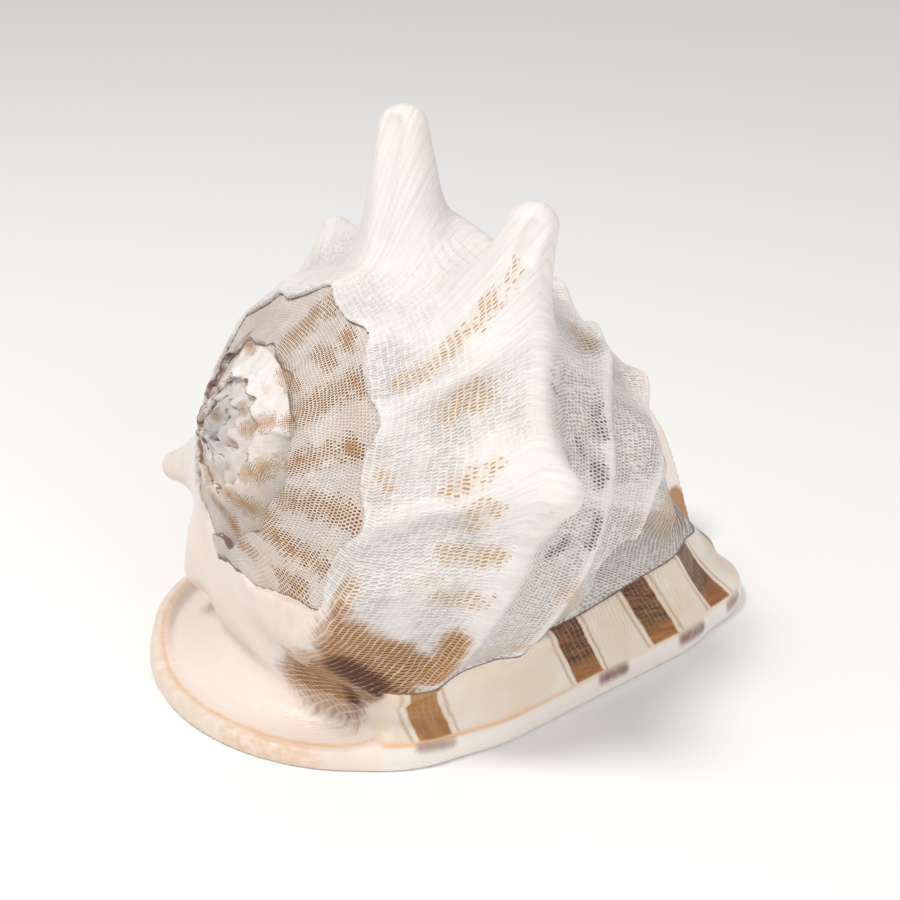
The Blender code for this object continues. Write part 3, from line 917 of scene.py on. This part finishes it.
# Relief in millimetres, and roughness of chalky lime and of callus.
PIT_DEPTH = 0.4
STRAND_HEIGHT = 0.25
CORD_RELIEF = 0.12
CHALKY = 0.55
GLAZED = 0.32
GLOSS = 0.3

# Colour marks on the net: two places, half-width and strength.
TAN_MARKS = (
    ((-28, -54, 146), (-30, -54, 140), 2.4, 0.65),
    ((-32, -53, 138), (-39, -53, 134), 2.8, 0.85),
    ((-40, -54, 131), (-44, -51, 126), 2.6, 0.8),
    ((-44, -51, 126), (-60, -51, 116), 3.0, 0.7),
    ((-42, -63, 116), (-45, -62, 113), 3.6, 0.9),
    ((-47, -61, 112), (-51, -61, 110), 3.4, 0.75),
    ((-46, -78, 102), (-49, -77, 99), 3.0, 0.6),
    ((-52, -76, 97), (-55, -72, 93), 4.0, 0.7),
    ((-49, -82, 90), (-53, -78, 86), 4.0, 0.65),
    ((-46, -82, 76), (-57, -75, 75), 3.2, 0.8),
    ((-80, -64, 65), (-82, -64, 61), 2.8, 0.95),
    ((-58, -75, 62), (-46, -79, 62), 3.0, 0.6),
    ((-66, -74, 66), (-60, -76, 68), 2.6, 0.55),
    ((-14, -72, 54), (1, -51, 28), 4.5, 0.65),
    ((3, -45, 118), (1, -41, 120), 3.5, 0.7),
    ((-71, -61, 94), (-69, -63, 93), 3.0, 0.55),
    ((20, -62, 62), (28, -47, 36), 5.0, 0.6),
    ((-36, -64, 36), (-20, -62, 32), 3.0, 0.5),
    ((42, -38, 54), (56, -28, 40), 6.0, 0.95),
    ((60, -26, 40), (70, -18, 34), 5.0, 1.0),
)
PURPLE_MARKS = (
    ((-21, -68, 118), (-17, -66, 113), 3.0, 0.75),
    ((0, -61, 103), (-1, -63, 98), 3.2, 1.0),
    ((-22, -77, 101), (-19, -76, 98), 2.6, 0.85),
    ((-12, -69, 99), (-11, -70, 95), 2.4, 1.0),
    ((-6, -69, 90), (-6, -70, 86), 2.8, 0.95),
    ((-20, -76, 72), (-26, -78, 71), 2.4, 0.95),
    ((-7, -73, 75), (-9, -73, 69), 2.4, 0.9),
)
BROWN_MARKS = (
    ((-83, -62.7, 57), (-83, -62, 47), 4.0, 0.7),
    ((-81, -62, 47), (-74.5, -60.5, 34), 8.0, 1.1),
    ((-76, -64, 46), (-65, -67, 41), 5.0, 0.95),
    ((-77, -59, 36), (-66, -63, 30), 7.5, 1.2),
    ((-66, -66, 38), (-54, -69.5, 34), 6.0, 1.0),
    ((-54, -70, 33), (-52, -75, 47), 4.5, 0.9),
    ((-82, -53, 33), (-76, -48, 20), 9.0, 1.15),
    ((-86, -46, 33), (-82, -38, 21), 7.5, 0.85),
    ((-80, -41, 17), (-71, -50, 14), 6.5, 0.8),
    ((-72, -56, 24), (-64, -58, 20), 4.5, 0.8),
)
DARK_MARKS = (
    ((-78, -57, 36), (-69, -61, 29), 5.0, 1.05),
    ((-74, -52, 22), (-70, -51, 16), 3.5, 0.8),
)

# Callus: stain on the lobe and patch on the far rim, and ring inside the rim.
LOBE_STAIN = (Vector((-104, -38, 6)), Vector((-88, -58, 6)), 5.0, 5.0)
FAR_PATCH = (Vector((91, 15.5, 25)), Vector((96, 12, 18)), 3.0, 3.0)
RING_INSET = 3.4
FRINGE_X = -84.5
BEAD_TOP = 8.6

# Bars on the lip: top, foot, heading of the lip in degrees, half-width and darkness.
BARS = (
    ((-56, -66, 28), (-50.7, -66.3, 8.9), 0.0, 5.0, 0.1),
    ((3.7, -48.7, 23.8), (9.6, -54.5, 10), 28.0, 5.5, 1.0),
    ((34.9, -37.7, 27.6), (45.3, -44.6, 9.6), 28.0, 5.6, 1.0),
    ((63.8, -25.9, 27.5), (76.8, -31.5, 9.5), 35.0, 5.2, 1.0),
)

# Brown smudges on the bead, below the bars, and how far their edges fade.
SMUDGE_EDGE = 1.6
SMUDGES = (
    ((-56, -66.4, 7.6), (-46, -66.9, 7), 1.5, 0.75),
    ((15, -54.2, 6.8), (25, -51.6, 6.6), 1.9, 0.95),
    ((53, -43.7, 6.6), (64, -39.5, 6.2), 2.0, 0.95),
    ((82, -31, 6), (87, -26, 6), 2.2, 0.8),
)

# Way along the lip, pitch of its faint threads, and pitch of the threads and steps of a bar.
LIP_WAY = Vector((0.86, 0.5))
LIP_THREAD_PITCH = 1.7
BAR_THREAD_PITCH = 1.9
BAR_STEP_PITCH = 1.3


def brown_patch(place, pit, cord, ragged, strand):
    """How strongly the brown patch by the spire covers a place, and its colour there."""
    marked = amount(place, BROWN_MARKS)
    brown = (marked + (between(ragged, strand, 0.6) - 0.5) * 1.1).ramp(0.1, 0.8)
    brown = brown * marked.ramp(0.02, 0.2)
    dark = amount(place, DARK_MARKS) + (between(ragged, strand, 0.5) - 0.5) * 1.2
    dark = dark.ramp(0.1, 0.9)
    patch = tint(pit, tint(dark, BROWN, DARK_BROWN), tint(dark, BROWN_PIT, DARK_PIT))
    threads = cord * ragged.ramp(0.35, 0.6) * dark.ramp(0.0, 1.0, 0.75, 0.35)
    patch = tint(threads, patch, THREAD)
    patch = tint((1.0 - pit) * dark.ramp(0.0, 1.0, 0.22, 0.03), patch, THREAD)
    return brown, patch


def barred(lip, place, from_edge, clouds, ragged, strand, wobble):
    """Lays the bars over the lip: net and dark brown above, plain brown towards the bead."""
    for top, foot, heading, width, darkness in BARS:
        way = Vector(foot) - Vector(top)
        turn = math.radians(heading)
        across_bar = Vector((math.cos(turn), math.sin(turn), 0.0))
        across_bar = (across_bar - way * (across_bar.dot(way) / way.dot(way))).normalized()
        from_middle = Rule.vector("DOT_PRODUCT", 1, place, across_bar)
        from_middle = from_middle - Vector(top).dot(across_bar)
        gap = abs(from_middle + (clouds - 0.5) * 2.0) - width + (ragged - 0.5) * 1.4
        threads = near_line(from_middle / BAR_THREAD_PITCH + wobble * 0.6, 0.34, 0.48)
        steps = near_line(from_edge / BAR_STEP_PITCH + wobble, 0.34, 0.48) * 0.6
        upper = from_edge.ramp(12.0, 16.0)
        woven = high(threads, steps) * ragged.ramp(0.35, 0.6, 0.1, 0.6)
        dark_end = tint(darkness * strand.ramp(0.35, 0.65, 0.6, 1.0), BROWN, BAR_BROWN)
        brown_end = tint(strand.ramp(0.3, 0.7), ORANGE_BROWN, BROWN)
        bar = tint(upper, brown_end, tint(woven, dark_end, NET_WHITE))
        lip = tint(swell(gap, 2.2, 0.6) * clouds.ramp(0.3, 0.6, 0.3, 0.7), lip, TAN_PIT)
        lip = tint(gap.ramp(1.5, 0.0) * 0.5, lip, TAN)
        lip = tint(gap.ramp(0.5, -0.4), lip, bar)
    return lip


def body_finish():
    """White net with its marks and painted shade in its pits and seams, smooth callus, and the lip
    band with bars, bead and a painted shadow line along its upper edge.
    """
    material, place = new_finish("body_shell")
    x, y, z = split(place)
    depth, _, _, radius, angle = coil(place)
    off_whorl, off_horn, fold, seam = (noted(label) for label in NOTES)
    rim = outline_rule(x, y)
    inset = high(-rim, 0.0)
    clouds = noise(place, *CLOUDS)
    ragged = noise(place, *RAGGED)

    turns = (angle - LIP_ANGLE) / TURN - angle.ramp(FADE_START, FADE_END)
    girth = grown(SHOULDER_RADIUS, SHOULDER_GROWTH, turns)
    shoulder_depth = girth * (SHOULDER_DEPTH / SHOULDER_RADIUS)
    past_shoulder = depth - shoulder_depth
    lean = high(low(shoulder_depth - depth, LEAN_REACH), 0.0) * LEAN
    growth = angle - lean
    across = (depth + radius * CORD_SLOPE) / girth * SHOULDER_RADIUS

    # Net of riblets and cords.
    side = past_shoulder.ramp(*SIDE_START)
    smooth_rows = swell(past_shoulder, 4.0, 5.0) * angle.ramp(-20.0, 20.0)
    for row, width, *_ in KNOB_ROWS:
        centre = between(shoulder_depth, BASE_DEPTH, row)
        smooth_rows = high(smooth_rows, swell(depth, centre, width * 0.6))
    wobble = noise(place, 0.09, 4.0, 0.6) * 3.0 - 1.5
    rows = across / between(RAMP_CORD_PITCH, SIDE_CORD_PITCH, side) + wobble * 0.7
    pit, picked = pits(growth / RIBLET_PITCH + wobble, rows)
    cord = near_line(rows, 0.36, 0.47)
    deep = noise(place, 0.05, 3.0, 0.6).ramp(0.34, 0.60, 0.4, 1.0)
    deep = high(deep, side) * (1.0 - smooth_rows * 0.9)
    deep = deep * off_horn.ramp(1.5, 6.0, 0.1, 1.0) * fold.ramp(3.6, 1.8, 0.5, 1.0)
    deep = deep * z.ramp(150.0, 108.0, 0.2, 1.0) * picked.ramp(0.0, 0.6, 0.5, 1.0)
    strand = noise(grid_place(growth * 1.1, across * 0.06), 1.0, 3.0, 0.6)

    # Body colour.
    colour = tint(strand.ramp(0.3, 0.75), WHITE, WORN_WHITE)
    colour = tint(clouds.ramp(0.45, 0.75) * 0.4, colour, PINK_CREAM)
    # Painted shade in the pits, deeper on the side below the shoulder.
    pit_shade = tint(side, PALE_PIT_SHADE, DEEP_PIT_SHADE)
    colour = tint(pit * deep * between(0.75, 0.95, side), colour, pit_shade)
    tan = amount(place, TAN_MARKS)
    colour = flecked(colour, tan, pit, picked, ragged, TAN, TAN_PIT)
    purple = amount(place, PURPLE_MARKS)
    colour = flecked(colour, purple, pit, picked, ragged, PURPLE, PURPLE_PIT)
    brown, patch = brown_patch(place, pit, cord, ragged, strand)
    colour = tint(brown, colour, patch)
    # Painted shade: a dark line along the seams where whorls meet.
    colour = tint(seam.ramp(0.55, 0.15) * 0.8, colour, SEAM_SHADE)

    # Callus of the shield, the canal and the lobe behind the spire.
    from_edge = length(inset, z)
    band_gap, lip_side = band_rule(inset, x, y, z)
    near = y.ramp(0.0, -14.0) * x.ramp(-84.0, -66.0) * band_gap.ramp(-3.0, 0.5)
    glaze = (off_whorl + (noise(place, 0.12, 3.0) - 0.5) * 5.0).ramp(1.5, 3.0)
    glaze = glaze * (1.0 - near)
    fringe = x + (noise(place, 0.16, 4.0, 0.7) - 0.5) * 14.0
    low_left = z.ramp(66.0, 55.0) * (1.0 - near)
    glaze = high(glaze, fringe.ramp(-83.0, -86.5) * low_left)
    callus = tint(clouds.ramp(0.3, 0.7), PINK_CREAM, PALE_CREAM)
    callus = tint(swell(fringe, FRINGE_X, 3.5) * z.ramp(14.0, 24.0) * 0.85, callus, WHITE)
    worn_rim = rim.ramp(-9.0, -2.0) * x.ramp(-60.0, -95.0)
    callus = tint(worn_rim * ragged.ramp(0.3, 0.7, 0.2, 0.6), callus, TAN)
    far_patch = rod(place, *FAR_PATCH) + (ragged - 0.5) * 2.0
    callus = tint(far_patch.ramp(1.0, -1.0) * 0.9, callus, BROWN)
    ring = swell(rim + (clouds - 0.5) * 2.0, -RING_INSET, 0.8)
    ring = ring * strand.ramp(0.35, 0.6, 0.4, 0.8) * z.ramp(16.0, 10.0)
    callus = tint(ring, callus, PEACH)
    stain = rod(place, *LOBE_STAIN).ramp(3.0, -4.0)
    callus = tint(stain * ragged.ramp(0.35, 0.65) * 0.6, callus, PEACH)
    colour = tint(glaze * brown.ramp(0.0, 1.0, 1.0, 0.3), colour, callus)

    # Lip band with its bars, and the bead under it.
    band = band_gap.ramp(0.3, -0.3) * lip_side.ramp(0.4, 0.6)
    lip = tint(noise(place, 0.06, 3.0).ramp(0.35, 0.65), CREAM, LIP_WHITE)
    lip = tint(strand.ramp(0.5, 0.75) * x.ramp(10.0, -30.0) * 0.5, lip, WORN_WHITE)
    forward = x * LIP_WAY.x + y * LIP_WAY.y
    faint = swell(abs(fraction(forward / LIP_THREAD_PITCH + wobble) - 0.5), 0.0, 0.16)
    faint = faint * clouds.ramp(0.45, 0.65)
    lip = tint(faint * from_edge.ramp(12.0, 16.0) * 0.4, lip, TAN_PIT)
    lip = barred(lip, place, from_edge, clouds, ragged, strand, wobble)
    bead = from_edge.ramp(BEAD_TOP + 0.8, BEAD_TOP)
    lip = tint(bead, lip, BEAD_WHITE)
    lip = tint(swell(from_edge, BEAD_TOP, 0.7) * x.ramp(30.0, -30.0, 0.3, 0.85), lip, PEACH)
    smudge = amount(place, SMUDGES, SMUDGE_EDGE)
    smudge = smudge * bead.ramp(0.0, 1.0, 0.4, 0.95) * ragged.ramp(0.2, 0.6, 0.75, 1.0)
    lip = tint(smudge, lip, SMUDGE_BROWN)
    colour = tint(band, colour, lip)
    # Painted shadow: a dark line at the upper edge of the lip band, where it stands over the whorl.
    overlap_shadow = abs(band_gap).ramp(0.36, 0.08) * lip_side.ramp(0.3, 0.7)
    colour = tint(overlap_shadow * 0.85, colour, SEAM_SHADE)

    smooth = high(glaze, band)
    relief = pit * deep * -PIT_DEPTH + strand * STRAND_HEIGHT + cord * deep * CORD_RELIEF
    relief = relief * smooth.ramp(0.0, 1.0, 1.0, 0.12, "LINEAR")
    surface = close_finish(material, colour, relief)
    roughness = smooth.ramp(0.0, 1.0, CHALKY, GLAZED, "LINEAR")
    material.node_tree.links.new(roughness.socket, surface.inputs["Roughness"])
    return material


body = grow("body", 0, BODY_BLOCK, body_finish())
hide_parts("shell")
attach(body, "root")

# Spire skin
# The outside of the earlier whorls is the same lime, older and more worn, with a finer net. It is
# stained beige, with brown blotches, and has painted shade in its pits and dark painted shade lines
# in the sutures.

SPIRE_BLOCK = (
    Vector((-110, -74, 20)),
    Vector((-40, 56, 164)),
    0.6,
    190000,
)
SPIRE_RIBLET_PITCH = 1.15
SPIRE_CORDS = 25.0
SPIRE_ROUGHNESS = 0.5
SPIRE_STRAND_HEIGHT = 0.2

# Painted shade lines in the two newest sutures: wave and width, in turns.
SUTURE_SHADE_LINES = ((0.149, 0.016), (0.198, 0.02))

# Blotches: two places, half-width and strength.
SPIRE_MARKS = (
    ((-78, -16, 117), (-68, -13, 125), 3.2, 1.0),
    ((-66, -18, 126), (-64, -15, 129), 2.4, 0.8),
    ((-72, -26, 118), (-72, -31, 117), 2.8, 0.95),
    ((-66, -30, 123), (-66, -32, 122), 3.0, 1.1),
    ((-69, -41, 115), (-69, -45, 113), 3.2, 1.0),
    ((-82, -22, 112), (-82, -28, 110), 2.8, 1.0),
    ((-86, -33, 102), (-82, -35, 105), 3.0, 1.1),
    ((-82, -35, 105), (-73, -39, 111), 3.8, 0.85),
    ((-88, -38, 91), (-85, -41, 93), 3.0, 1.05),
    ((-85, -41, 93), (-76, -48, 98), 3.2, 0.75),
    ((-75, -50, 100), (-74, -52, 99), 3.0, 1.3),
    ((-89, -40, 82), (-84, -47, 83), 3.2, 1.0),
    ((-84, -47, 83), (-77, -59, 82), 4.0, 0.9),
    ((-93, -36, 72), (-88, -43, 68), 3.2, 1.05),
    ((-88, -43, 68), (-84, -54, 67), 3.6, 0.9),
    ((-87, -48, 57), (-89, -40, 57), 3.2, 1.0),
    ((-88, -52, 52), (-89, -42, 54), 3.0, 0.9),
    ((-91, -44, 46), (-93, -35, 44), 3.4, 0.9),
    ((-92, -20, 95), (-88, -27, 100), 2.2, 1.1),
    ((-94, -25, 84), (-91, -29, 86), 2.8, 1.1),
    ((-91, -29, 86), (-89, -35, 91), 2.8, 1.1),
    ((-97, -18, 75), (-94, -24, 73), 2.6, 1.1),
    ((-94, -24, 73), (-92, -37, 75), 2.8, 1.1),
    ((-97, -8, 68), (-95, -19, 63), 2.8, 1.1),
    ((-96, -26, 63), (-94, -30, 61), 2.4, 1.0),
    ((-78, 12, 111), (-83, -3, 112), 1.8, 1.2),
    ((-84, 8, 108), (-81, 9, 111), 1.6, 1.0),
    ((-95, -15, 90), (-95, -18, 90), 1.5, 1.1),
    ((-91, -14, 100), (-91, -16, 99), 1.5, 1.0),
    ((-97, -7, 97), (-97, -10, 96), 1.6, 1.1),
)


def spire_finish():
    """Beige net with brown blotches, white on the flap, painted shade in its pits and dark painted
    shade lines in the sutures.
    """
    material, place = new_finish("spire_shell")
    _, _, _, radius, angle = coil(place)
    turns = (angle - LIP_ANGLE) / TURN
    ragged = noise(place, *RAGGED)
    whorl = Rule.math("LOGARITHM", radius / SUTURE_RADIUS, WHORL_GROWTH) - turns
    share = fraction(whorl)
    wobble = noise(place, 0.13, 3.0, 0.6) * 3.0 - 1.5
    worn = radius.ramp(28.0, 18.0)
    growth = angle + share * 14.0
    flap = whorl.ramp(-1.0, -1.05) * whorl.ramp(-2.0, -1.85)
    flap = flap * angle.ramp(75.0, 72.0) * angle.ramp(*FLAP_FOOT)
    deep = noise(place, 0.06, 3.0, 0.6).ramp(0.36, 0.6, 0.6, 1.0)
    deep = deep * worn.ramp(0.0, 1.0, 1.0, 0.2) * (1.0 - flap * 0.9)
    rows = share * SPIRE_CORDS + wobble * 0.5
    pit, picked = pits(growth / SPIRE_RIBLET_PITCH + wobble, rows)
    strand = noise(grid_place(growth * 0.5, share * 1.2), 1.0, 3.0, 0.6)
    colour = tint(strand.ramp(0.3, 0.75), WHITE, WORN_WHITE)
    colour = tint(noise(place, 0.05, 3.0).ramp(0.4, 0.65) * 0.5, colour, PINK_CREAM)
    washed = ragged.ramp(0.25, 0.7, 0.1, 0.42) * radius.ramp(10.0, 20.0) * (1.0 - flap)
    colour = tint(washed, colour, NET_BEIGE)
    # Painted shade in the pits.
    colour = tint(pit * deep * picked.ramp(0.0, 0.6, 0.55, 1.0) * 0.8, colour, PALE_PIT_SHADE)
    blotch = amount(place, SPIRE_MARKS)
    colour = flecked(colour, blotch * 1.1, pit, picked, ragged, TAN, BROWN_PIT)
    colour = tint((blotch + (ragged - 0.5) * 1.6).ramp(0.85, 1.3) * 0.7, colour, BROWN)
    crevice = noise(place, WEAR_SCALE, 3.0, 0.6).ramp(0.52, 0.62) * worn
    colour = tint(crevice * ragged.ramp(0.4, 0.6) * 0.6, colour, TAN)
    # Painted shade: dark lines along the stored seams and the two newest sutures.
    line = noted("seam").ramp(0.6, 0.15)
    for lap, (line_wave, width) in enumerate(SUTURE_SHADE_LINES, 1):
        from_line = whorl + float(lap) - nodule(angle, lap + 1) * line_wave
        line = high(line, swell(from_line, 0.0, width))
    colour = tint(line * strand.ramp(0.2, 0.5, 0.5, 0.9), colour, SEAM_SHADE)
    relief = pit * deep * -PIT_DEPTH + strand * SPIRE_STRAND_HEIGHT
    close_finish(material, colour, relief).inputs["Roughness"].default_value = SPIRE_ROUGHNESS
    return material


spire = grow("spire", 1, SPIRE_BLOCK, spire_finish())
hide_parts("shell")
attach(spire, "root")

# Stage
# The shell stands on a plain pale floor in an even pale room. A small soft lamp from the upper
# left and a wide weak one from the front light it, and the camera stands where the photo's did.

FLOOR_HALF = 12.0
FLOOR_COLOUR = (0.93, 0.925, 0.92, 1.0)
FLOOR_ROUGHNESS = 0.8
ROOM_COLOUR = (1.0, 0.99, 0.98, 1.0)
ROOM_STRENGTH = 0.60

floor_mesh = bpy.data.meshes.new("floor")
floor_mesh.from_pydata(
    [(x * FLOOR_HALF, y * FLOOR_HALF, 0.0) for x, y in ((-1, -1), (1, -1), (1, 1), (-1, 1))],
    [],
    [(0, 1, 2, 3)],
)
floor = bpy.data.objects.new("floor", floor_mesh)
bpy.context.scene.collection.objects.link(floor)
floor_finish = bpy.data.materials.new("floor")
floor_finish.use_nodes = True
floor_surface = floor_finish.node_tree.nodes["Principled BSDF"]
floor_surface.inputs["Base Color"].default_value = FLOOR_COLOUR
floor_surface.inputs["Roughness"].default_value = FLOOR_ROUGHNESS
floor_mesh.materials.append(floor_finish)

world = bpy.data.worlds.new("studio")
world.use_nodes = True
world.node_tree.nodes["Background"].inputs["Color"].default_value = ROOM_COLOUR
world.node_tree.nodes["Background"].inputs["Strength"].default_value = ROOM_STRENGTH
bpy.context.scene.world = world
bpy.context.scene.view_settings.view_transform = "Standard"


def softbox(name, place, aim, width, power, colour):
    lamp = bpy.data.lights.new(name, "AREA")
    lamp.shape = "DISK"
    lamp.size = width
    lamp.energy = power
    lamp.color = colour
    thing = bpy.data.objects.new(name, lamp)
    thing.location = place
    thing.rotation_euler = (Vector(aim) - Vector(place)).to_track_quat("-Z", "Y").to_euler()
    bpy.context.scene.collection.objects.link(thing)


softbox("key", (-0.6, -0.1, 1.15), (0.0, 0.0, 0.08), 0.35, 8.5, (1.0, 0.985, 0.955))
softbox("fill", (0.1, -1.3, 0.45), (0.0, 0.0, 0.05), 1.0, 5.0, (1.0, 0.995, 0.985))

APEX_PLACE = (APEX - MIDDLE) * MM
CAMERA_BACK = Vector((-0.3435, -0.8503, 0.3987))
CAMERA_REACH = 0.46704
lens = bpy.data.cameras.new("camera")
lens.lens = 64.48
lens.sensor_width = 36.0
lens.shift_x = 0.2654
lens.shift_y = -0.0322
lens.clip_start = 0.01
lens.clip_end = 50.0
camera = bpy.data.objects.new("camera", lens)
camera.location = APEX_PLACE + CAMERA_BACK * CAMERA_REACH
camera.rotation_euler = (-CAMERA_BACK).to_track_quat("-Z", "Y").to_euler()
bpy.context.scene.collection.objects.link(camera)
bpy.context.scene.camera = camera
